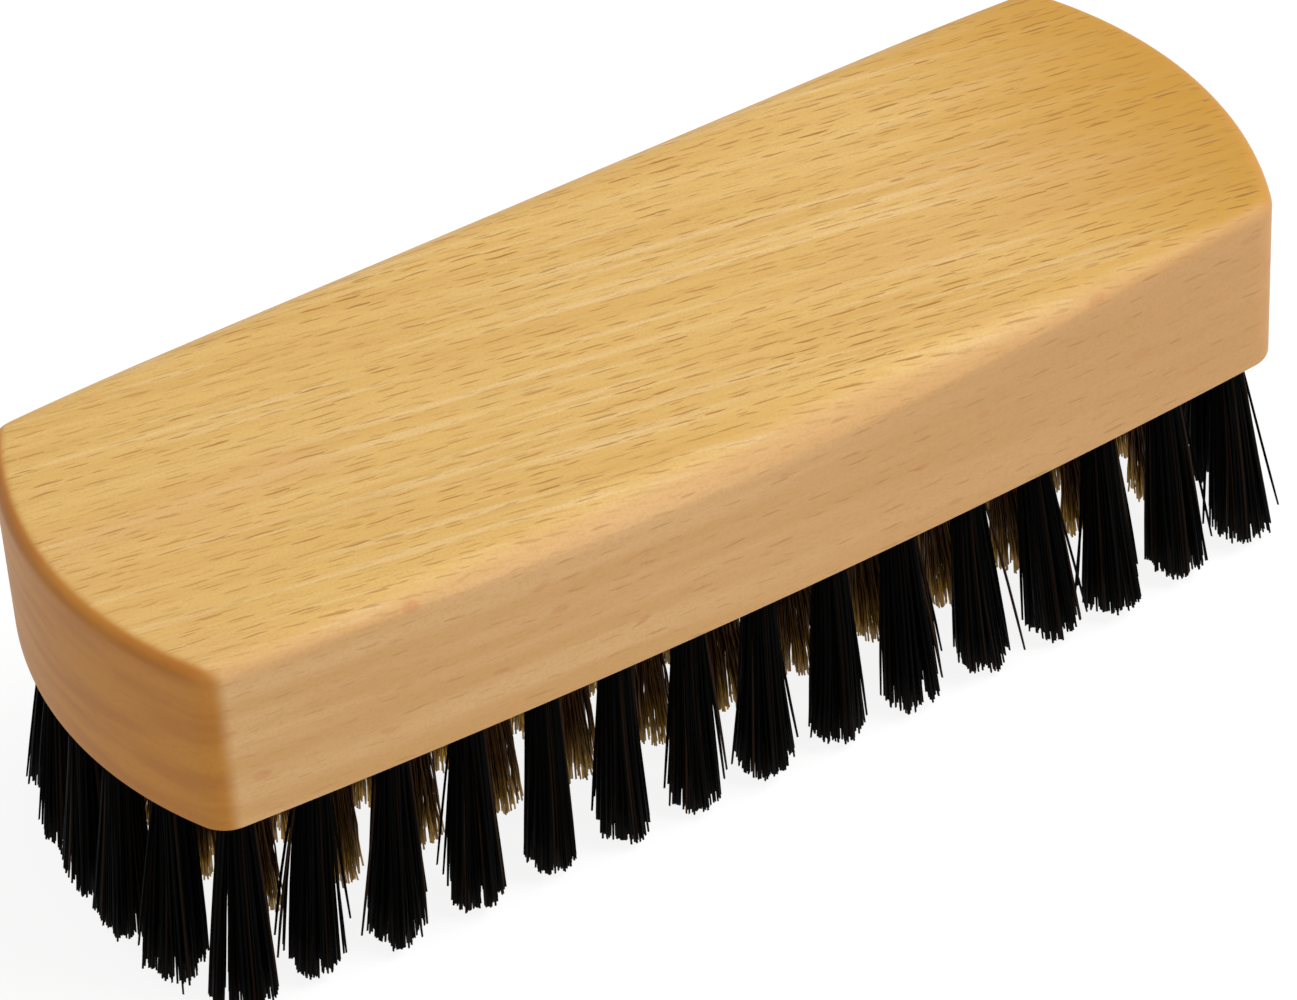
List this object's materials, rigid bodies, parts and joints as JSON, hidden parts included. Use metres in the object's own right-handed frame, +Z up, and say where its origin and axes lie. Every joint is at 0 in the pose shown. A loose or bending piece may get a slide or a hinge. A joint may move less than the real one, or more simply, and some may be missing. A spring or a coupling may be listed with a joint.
{
  "type": "suede brush",
  "caption": "Hand brush for suede: a beech block with bowed sides, a ring of black bristle tufts round its edge and brass wire tufts inside.",
  "frame": {"origin": "on the plane of the black bristle tips, under the middle of the block, at the bottom centre of the bounding box", "axes": "+X along the length, +Y across the width, +Z up from the bristle tips to the top of the block"},
  "size_m": [0.1264, 0.045, 0.0435],
  "materials": {
    "beech": "oiled beech, satin, with fine ray flecks",
    "black_bristle": "black bristle with a slight sheen",
    "brass_wire": "fine crimped brass wire, dulled to bronze",
    "anchor_wire": "bright flat wire"
  },
  "bodies": {
    "root": {"wood_block": "beech", "bristle_tuft_front_01": "black_bristle", "bristle_tuft_front_02": "black_bristle", "bristle_tuft_front_03": "black_bristle", "bristle_tuft_front_04": "black_bristle", "bristle_tuft_front_05": "black_bristle", "bristle_tuft_front_06": "black_bristle", "bristle_tuft_front_07": "black_bristle", "bristle_tuft_front_08": "black_bristle", "bristle_tuft_front_09": "black_bristle", "bristle_tuft_front_10": "black_bristle", "bristle_tuft_front_11": "black_bristle", "bristle_tuft_front_12": "black_bristle", "bristle_tuft_front_13": "black_bristle", "bristle_tuft_front_14": "black_bristle", "bristle_tuft_front_15": "black_bristle", "bristle_tuft_back_01": "black_bristle", "bristle_tuft_back_02": "black_bristle", "bristle_tuft_back_03": "black_bristle", "bristle_tuft_back_04": "black_bristle", "bristle_tuft_back_05": "black_bristle", "bristle_tuft_back_06": "black_bristle", "bristle_tuft_back_07": "black_bristle", "bristle_tuft_back_08": "black_bristle", "bristle_tuft_back_09": "black_bristle", "bristle_tuft_back_10": "black_bristle", "bristle_tuft_back_11": "black_bristle", "bristle_tuft_back_12": "black_bristle", "bristle_tuft_back_13": "black_bristle", "bristle_tuft_back_14": "black_bristle", "bristle_tuft_back_15": "black_bristle", "bristle_tuft_left_1": "black_bristle", "bristle_tuft_left_2": "black_bristle", "bristle_tuft_left_3": "black_bristle", "bristle_tuft_left_4": "black_bristle", "bristle_tuft_right_1": "black_bristle", "bristle_tuft_right_2": "black_bristle", "bristle_tuft_right_3": "black_bristle", "bristle_tuft_right_4": "black_bristle", "brass_tufts_column_01": "brass_wire", "brass_tufts_column_02": "brass_wire", "brass_tufts_column_03": "brass_wire", "brass_tufts_column_04": "brass_wire", "brass_tufts_column_05": "brass_wire", "brass_tufts_column_06": "brass_wire", "brass_tufts_column_07": "brass_wire", "brass_tufts_column_08": "brass_wire", "brass_tufts_column_09": "brass_wire", "brass_tufts_column_10": "brass_wire", "brass_tufts_column_11": "brass_wire", "brass_tufts_column_12": "brass_wire", "brass_tufts_column_13": "brass_wire", "bristle_anchors": "anchor_wire", "brass_anchors": "anchor_wire"}
  },
  "joints": []
}
